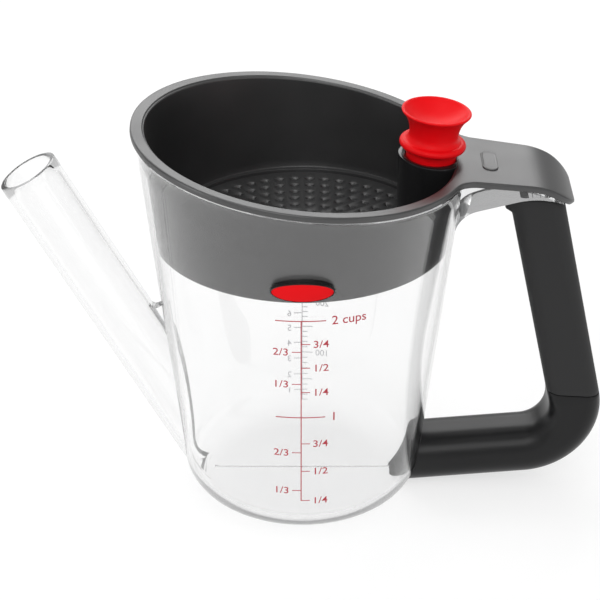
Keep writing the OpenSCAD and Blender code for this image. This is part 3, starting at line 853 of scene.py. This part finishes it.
# %% Wrap flat marks round the cup
def wrap(flat, side, lift):
    """Flat points (u, v, w) in mm to the wall: u round it, v its height, w off it."""
    r = wall_r(flat[:, 1]) + lift + flat[:, 2]
    a = flat[:, 0] / wall_r(flat[:, 1])
    return np.stack([-side * r * np.sin(a), side * r * np.cos(a), flat[:, 1]], -1)


def ink_mesh(marks, name, side, lift=0.05):
    """One mesh from a list of flat meshes, each with its points wrapped round the cup."""
    bm = bmesh.new()
    for mesh in marks:
        mesh.vertices.foreach_set("co", (wrap(coords(mesh), side, lift) / 1000).ravel())
        bm.from_mesh(mesh)
        bpy.data.meshes.remove(mesh)
    bmesh.ops.remove_doubles(bm, verts=bm.verts, dist=1e-7)
    bmesh.ops.recalc_face_normals(bm, faces=bm.faces)
    mesh = bpy.data.meshes.new(name)
    bm.to_mesh(mesh)
    bm.free()
    return place(name, mesh)


print("wrap ready")

# %% [markdown]
# A mark is a thin four-cornered strip, cut into short lengths so that it can bend round the
# wall. A figure is a text curve with a little thickness, made a mesh while it is still flat.


# %% Strips and figures
INK_T = 0.03
CORNERS = np.array([-0.5, 0.5, 0.5, -0.5])


def strip(u, v):
    """Mesh of a thin strip whose four long edges have the points (u, v)."""
    grid = np.stack(np.broadcast_arrays(u, v, INK_T * np.array([0, 0, 1, 1])), -1)
    mesh = bpy.data.meshes.new("strip")
    last = 4 * len(grid)
    caps = [[0, 1, 2, 3], [last - 1, last - 2, last - 3, last - 4]]
    quads = grid_quads(len(grid), 4).tolist()
    mesh.from_pydata(grid.reshape(-1, 3).tolist(), [], quads + caps)
    return mesh


def bar(u0, u1, v, width):
    """Thin bar from u0 to u1 at height v."""
    return strip(np.linspace(u0, u1, max(2, int(abs(u1 - u0)) + 1))[:, None], v + CORNERS * width)


def stem(u, v0, v1, width):
    """Thin upright line at u from v0 to v1."""
    return strip(u + CORNERS * width, np.linspace(v0, v1, 24)[:, None])


def figure(text, u, v, size, align="LEFT", narrow=1.04):
    """Short text as a thin mesh; u is its start or end, and v the middle of its figures."""
    curve = bpy.data.curves.new("figure", "FONT")
    curve.body, curve.size, curve.align_x, curve.extrude = text, size, align, INK_T / 2
    curve.resolution_u, curve.offset = 5, 0.005 * size
    obj = place("figure", curve)
    mesh = outcome(obj)
    bpy.data.objects.remove(obj)
    bpy.data.curves.remove(curve)
    co = coords(mesh) * [narrow, 1, 1] + [u, v - 0.35 * size, INK_T / 2]
    mesh.vertices.foreach_set("co", co.ravel())
    return mesh


print("strips and figures ready")

# %% [markdown]
# The heights of the marks for cups come from the photograph, and they grow closer towards the
# top because the cup widens. Whole cups get a long bar, thirds stand on the left of the stem,
# and quarters on its right.

# %% Front scale in cups
CUPS = {0.25: 15.75, 1 / 3: 19.93, 0.5: 27.96, 2 / 3: 35.57, 0.75: 39.24, 1: 49.76, 1.25: 59.71,
        4 / 3: 62.92, 1.5: 69.19, 5 / 3: 75.28, 1.75: 78.25, 2: 86.94}
LINE_U = -0.4
marks = [stem(LINE_U, CUPS[0.25] - 0.15, CUPS[2], 0.34)]
for cups, z in CUPS.items():
    part = round(cups % 1, 3)
    if part == 0:
        marks.append(bar(LINE_U - 8.0, LINE_U + 7.6, z, 0.36))
        marks.append(figure("2 cups" if cups == 2 else "1", LINE_U + 9.3, z, 4.6, narrow=0.94))
    elif part in (0.333, 0.667):
        marks.append(bar(LINE_U - 2.9, LINE_U, z, 0.3))
        marks.append(figure("1/3" if part == 0.333 else "2/3", LINE_U - 3.8, z, 3.8, "RIGHT"))
    else:
        marks.append(bar(LINE_U, LINE_U + 2.8, z, 0.3))
        label = {0.25: "1/4", 0.5: "1/2", 0.75: "3/4"}[part]
        marks.append(figure(label, LINE_U + 3.6, z, 3.8))
front_scale = ink_mesh(marks, "front_scale", -1)
report(front_scale)

# %% [markdown]
# The same volumes give the heights of the scale at the back, so the two sides agree: a US cup
# is 236.588 ml, or 8 fluid ounces.

# %% Back scale in ounces and millilitres
CUP_ML = 236.588
ml_known = [0] + [CUP_ML * c for c in CUPS]
z_known = [3.4] + list(CUPS.values())
ounces = np.arange(1, 17)
oz_z = np.interp(ounces * CUP_ML / 8, ml_known, z_known)
ml = np.arange(10, 471, 10)
ml_z = np.interp(ml, ml_known, z_known)
marks = [stem(0, oz_z[0] - 4, oz_z[-1], 0.3)]
for n, z in zip(ounces, oz_z):
    marks += [bar(0, 3.0, z, 0.3), figure(str(n), 3.8, z, 3.2)]
for n, z in zip(ml, ml_z):
    big = n % 50 == 0
    marks.append(bar(-3.8 if big else -2.0, 0, z, 0.3))
    if n % 100 == 0:
        marks.append(figure(str(n), -4.8, z, 3.2, "RIGHT"))
marks += [figure("oz", 3.4, oz_z[-1] + 4.6, 3.2), figure("ml", -3.4, oz_z[-1] + 4.6, 3.2, "RIGHT")]
back_scale = ink_mesh(marks, "back_scale", 1)
report(back_scale)

# %% [markdown]
# ## Materials
# Each finish is built from nodes on Object coordinates, so it is the same from every side.
# One helper adds a node and links or sets its sockets. Values that are the same all over a
# surface are set on the shader itself.


# %% Node helper
def add(tree, kind, inputs=None, **settings):
    """Adds a shader node; a socket is given a value, or linked to another node's output."""
    made = tree.nodes.new("ShaderNode" + kind)
    for key, value in settings.items():
        setattr(made, key, value)
    for key, value in (inputs or {}).items():
        if isinstance(value, bpy.types.NodeSocket):
            tree.links.new(value, made.inputs[key])
        else:
            made.inputs[key].default_value = value
    return made


def blank(name):
    """New material with an empty tree."""
    made = bpy.data.materials.new(name)
    made.use_nodes = True
    made.node_tree.nodes.clear()
    return made, made.node_tree


def noise(tree, where, scale, detail, rough=0.5):
    """Noise on Object coordinates, whose scale is its count of cells in a metre."""
    made = add(tree, "TexNoise", {
        "Vector": where, "Scale": scale, "Detail": detail, "Roughness": rough})
    return made.outputs["Fac"]


def spread(tree, value, low, high):
    """Maps the useful middle of a noise, 0.3 to 0.7, to a range."""
    return add(tree, "MapRange", {
        "Value": value, "From Min": 0.3, "From Max": 0.7, "To Min": low, "To Max": high}
    ).outputs["Result"]


print("material helpers ready")

# %% [markdown]
# Moulded plastic and rubber differ in colour, gloss and grain. The grain is a fine noise used
# as bump, as etched into the mould; a slower noise varies gloss and colour a little, as
# handling and cooling do.


# %% Moulded finishes
def moulded(name, colour, shift, rough, grain, depth, ior=1.5, sheen=0.0):
    """Opaque moulded finish; grain is its size in mm and depth its bump in mm."""
    made, tree = blank(name)
    where = add(tree, "TexCoord").outputs["Object"]
    slow = noise(tree, where, 38.0, 3.0)
    fine = noise(tree, where, 1000 / grain, 2.0, 0.6)
    tint = add(tree, "Mix", {
        "Factor": spread(tree, slow, 0, 1), "A": (*colour, 1), "B": (*shift, 1)}, data_type="RGBA")
    bump = add(tree, "Bump", {
        "Height": fine, "Strength": 1.0, "Distance": depth / 1000})
    shader = add(tree, "BsdfPrincipled", {
        "Base Color": tint.outputs["Result"], "Roughness": spread(tree, slow, rough[0], rough[1]),
        "Normal": bump.outputs["Normal"], "IOR": ior, "Sheen Weight": sheen})
    add(tree, "OutputMaterial", {"Surface": shader.outputs["BSDF"]})
    return made


def dark(value, blue=0.0005):
    """Near-black colour with a trace of blue."""
    return value, value, value + blue


satin_black = moulded("satin_black", dark(0.012), dark(0.016), (0.34, 0.42), 0.3, 0.0002, 1.8)
# The grille's black is twice as light as the rest of the strainer's: a painted sheen for the light
# the plate reflects from above.
grille_black_painted_sheen = moulded("grille_black_painted_sheen", dark(0.024), dark(0.034), (0.34, 0.44), 0.6, 0.006, 1.65)
column_black = moulded("column_black", dark(0.009), dark(0.013), (0.2, 0.27), 0.5, 0.001, 1.55)
arm_black = moulded("arm_black", dark(0.009), dark(0.012), (0.3, 0.36), 0.4, 0.0012, 1.32)
badge_gloss = moulded("badge_gloss", dark(0.01, 0), dark(0.014, 0), (0.2, 0.28), 0.5, 0.001)
core_plastic = moulded("core_plastic", dark(0.05, 0.002), dark(0.06, 0.002), (0.45, 0.5), 0.5,
                       0.004)
grip_rubber = moulded("grip_rubber", dark(0.018), dark(0.022), (0.62, 0.7), 0.3, 0.006, 1.38,
                      sheen=0.05)
red_rubber = moulded("red_rubber", (0.84, 0.003, 0.007), (0.78, 0.003, 0.006), (0.4, 0.48), 0.3,
                     0.0015, 1.22)
print("moulded finishes:", len(bpy.data.materials), "materials so far")

# %% [markdown]
# Ink is dull and slightly broken where it went on thin. The noise that thins it is fine, and
# moves its colour towards a paler tone.


# %% Inks
def ink(name, colour, thin):
    """Printed ink: dull colour with a fine, uneven cover."""
    made, tree = blank(name)
    where = add(tree, "TexCoord").outputs["Object"]
    grain = noise(tree, where, 2600.0, 2.0)
    tint = add(tree, "Mix", {
        "Factor": spread(tree, grain, 0, 1), "A": (*colour, 1), "B": (*thin, 1)},
        data_type="RGBA")
    shader = add(tree, "BsdfPrincipled", {
        "Base Color": tint.outputs["Result"], "Roughness": spread(tree, grain, 0.4, 0.55)})
    add(tree, "OutputMaterial", {"Surface": shader.outputs["BSDF"]})
    return made


red_ink = ink("red_ink", (0.42, 0.012, 0.03), (0.55, 0.05, 0.07))
grey_ink = ink("grey_ink", (0.68, 0.68, 0.7), (0.78, 0.78, 0.8))
print("inks ready")

# %% [markdown]
# Clear plastic bends the light as glass does, so it is a Principled shader with full
# transmission. A weak grey absorption inside darkens the long ways through it, which draws the
# edges. Lamps must reach the parts inside, so shadow rays see it as simply transparent. Light
# that is thrown to and fro inside a wall would turn black where the renderer stops counting;
# from its third reflection on, the wall lets it out, dimmed.

# %% Clear plastic
clear_plastic, tree = blank("clear_plastic")
where = add(tree, "TexCoord").outputs["Object"]
haze = noise(tree, where, 60.0, 3.0)
shader = add(tree, "BsdfPrincipled", {
    "Base Color": (1, 1, 1, 1), "Roughness": spread(tree, haze, 0.0, 0.03),
    "Transmission Weight": 1.0, "IOR": 1.5})
path = add(tree, "LightPath").outputs
trapped = add(tree, "Math", {0: path["Glossy Depth"], 1: 2.5}, operation="GREATER_THAN")
mixed = shader
for rays, grey in ((path["Is Shadow Ray"], 0.97), (trapped.outputs[0], 0.6)):
    through = add(tree, "BsdfTransparent", {"Color": (grey, grey, grey, 1)})
    mixed = add(tree, "MixShader", {0: rays, 1: mixed.outputs[0], 2: through.outputs[0]})
absorb = add(tree, "VolumeAbsorption", {"Color": (0.3, 0.31, 0.32, 1), "Density": 15.0})
add(tree, "OutputMaterial", {"Surface": mixed.outputs[0], "Volume": absorb.outputs[0]})
print("clear plastic: IOR", shader.inputs["IOR"].default_value)

# %% [markdown]
# ## Put the pieces in place
# Each piece rides on the CAD body it belongs to, stands for the nodes it replaces, and names
# the material slot of the record. The handle's core keeps its CAD shape.

# %% Bodies, slots and finishes
DRESS = [
    (clear_cup, "cup", "clear_plastic", clear_plastic, ("cup_bowl", "spout_tube", "upper_arm")),
    (strainer_shell, "strainer", "black_satin", satin_black,
     ("strainer_basket", "strainer_rim", "strainer_tail")),
    (drain_grille, "strainer", "black_satin", grille_black_painted_sheen, ("strainer_grille",)),
    (stopper_column, "strainer", "black_satin", column_black, ("stopper_pocket",)),
    (red_stopper, "stopper", "red_rubber", red_rubber, ("stopper",)),
    (arm_and_elbow, "cup", "black_satin", arm_black, ("lower_arm",)),
    (soft_grip, "cup", "grip_rubber", grip_rubber, ("grip_sleeve",)),
    (badge_black, "cup", "black_satin", badge_gloss, ("badge_backing",)),
    (badge_red, "cup", "red_rubber", red_rubber, ("badge_inlay",)),
    (tail_cushion, "strainer", "black_satin", satin_black, ("tail_pad",)),
    (front_scale, "cup", "red_rubber", red_ink, ()),
    (back_scale, "cup", "core_plastic", grey_ink, ()),
]
for obj, body, slot, finish, stands_for in DRESS:
    obj.data.materials.clear()
    obj.data.materials.append(finish)
    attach(obj, body)
    if stands_for:
        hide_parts(*stands_for)
for slot in cad["handle_core"].material_slots:
    slot.material = core_plastic
print(len(DRESS), "pieces placed")

# %% [markdown]
# ## Studio
# A white table without a visible edge stands in an even white room. White could be made with
# more light, but that would bleach the object. It comes instead from what the table and the
# room show to the rays that look at them, straight or by way of gloss and glass, while the
# light that they send onto the object stays plain. High up the room shows darker, which gives
# the clear walls a grey edge. The table still takes the object's shadow.


# %% Rays that look at the background
def seen_rays(tree):
    """1 for a ray that looks at the background, 0 after a dull bounce; and the ray's data."""
    path = add(tree, "LightPath").outputs
    seen = path["Is Camera Ray"]
    for rays in ("Is Glossy Ray", "Is Transmission Ray"):
        both = {0: seen, 1: path[rays]}
        seen = add(tree, "Math", both, operation="MAXIMUM").outputs[0]
    return add(tree, "Math", {0: seen, 1: path["Diffuse Depth"]},
               operation="SUBTRACT", use_clamp=True).outputs[0], path


print("ray helper ready")

# %% Table
DROP, HALF_TABLE = -0.0003, 6
table_mesh = bpy.data.meshes.new("table_top")
corners = [(-1, -1), (1, -1), (1, 1), (-1, 1)]
table_mesh.from_pydata([(HALF_TABLE * x, HALF_TABLE * y, DROP) for x, y in corners], [],
                       [(0, 1, 2, 3)])
table = place("table_top", table_mesh)
table_white, tree = blank("table_white")
seen = seen_rays(tree)[0]
lit = add(tree, "MapRange", {"Value": seen, "To Min": 0.35, "To Max": 0.66})
glow = add(tree, "Emission", {"Color": (1, 1, 1, 1), "Strength": lit.outputs[0]})
matt = add(tree, "BsdfDiffuse", {"Color": (0.36, 0.36, 0.36, 1)})
both = add(tree, "AddShader", {0: glow.outputs[0], 1: matt.outputs[0]})
add(tree, "OutputMaterial", {"Surface": both.outputs[0]})
table_mesh.materials.append(table_white)
print("table", 2 * HALF_TABLE, "m wide")

# %% World
world = bpy.data.worlds.new("studio")
bpy.context.scene.world = world
world.use_nodes = True
tree = world.node_tree
tree.nodes.clear()
seen, path = seen_rays(tree)
up = add(tree, "TexCoord").outputs["Generated"]
up = add(tree, "SeparateXYZ", {0: up}).outputs["Z"]
high = add(tree, "MapRange", {
    "Value": up, "From Min": 0.25, "From Max": 0.6, "To Min": 1.0, "To Max": 0.4})
level = add(tree, "MapRange", {"Value": seen, "To Min": 0.5, "To Max": high.outputs[0]})
level = add(tree, "MapRange", {
    "Value": path["Is Glossy Ray"], "To Min": level.outputs[0], "To Max": 0.5})
air = add(tree, "Background", {"Color": (1, 1, 1, 1), "Strength": level.outputs[0]})
add(tree, "OutputWorld", {"Surface": air.outputs[0]})
print("world ready")

# %% [markdown]
# Five large soft lamps light the object. The one behind lays a grey sheen on the black rim,
# the one overhead fills the basket, the one in front opens the dark band and the grip, and the
# narrow ones at the sides draw upright streaks on the wall. They don't show through the clear
# parts, where a bright rectangle would look like a window.


# %% Lamps
def softbox(name, at, aim, size, radiance):
    """Rectangular lamp; its power is radiance x area x pi, so the radiance is what shows."""
    lamp = bpy.data.lights.new(name, "AREA")
    lamp.shape, lamp.size, lamp.size_y = "RECTANGLE", size[0], size[1]
    lamp.energy = radiance * size[0] * size[1] * math.pi
    obj = place(name, lamp)
    obj.location = at
    away = np.array(at) - np.array(aim)
    yaw = math.atan2(away[0], -away[1])
    obj.rotation_euler = (math.atan2(math.hypot(away[0], away[1]), away[2]), 0, yaw)
    obj.visible_transmission = False


softbox("back", (-0.15, 1.0, 0.72), (0, 0, 0.1), (1.3, 0.6), 2.6)
softbox("overhead", (-0.1, 0.1, 1.3), (0, 0, 0.08), (0.8, 0.8), 1.3)
softbox("front", (-0.1, -1.0, 0.95), (0, 0, 0.08), (0.9, 0.6), 3.2)
softbox("left_strip", (-0.85, -0.35, 0.35), (0, 0, 0.08), (0.3, 0.9), 2.5)
softbox("right_strip", (0.75, -0.55, 0.4), (0, 0, 0.08), (0.22, 0.9), 1.5)
bpy.context.scene.view_settings.view_transform = "Standard"
print(len(bpy.data.lights), "softboxes placed")
